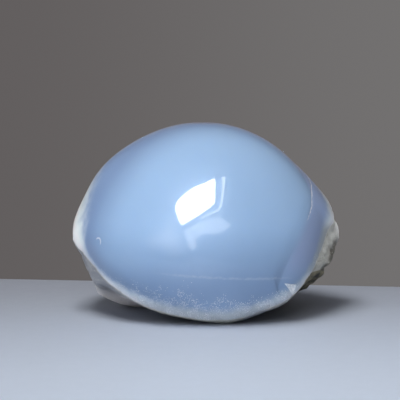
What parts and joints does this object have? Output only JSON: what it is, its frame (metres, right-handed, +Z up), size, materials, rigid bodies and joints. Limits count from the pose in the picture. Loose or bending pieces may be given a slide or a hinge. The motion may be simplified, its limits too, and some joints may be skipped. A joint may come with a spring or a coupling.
{
  "type": "blue chalcedony nodule",
  "caption": "Hand-sized natural chalcedony: a smooth polished milky-blue dome with a frosted rim, on a rough unworked back, resting on a small flat spot.",
  "frame": {"origin": "middle of the bottom of the bounding box, on the surface that the stone rests on", "axes": "+X along the longest side, -Y towards the viewer that the polished dome leans to, +Z up"},
  "size_m": [0.081, 0.07, 0.0557],
  "materials": {
    "blue_chalcedony": "polished milky-blue face with a pale frosted rim; matt grey-green rind and olive-brown matrix on the unworked back"
  },
  "bodies": {
    "root": {"chalcedony": "blue_chalcedony"}
  },
  "joints": []
}
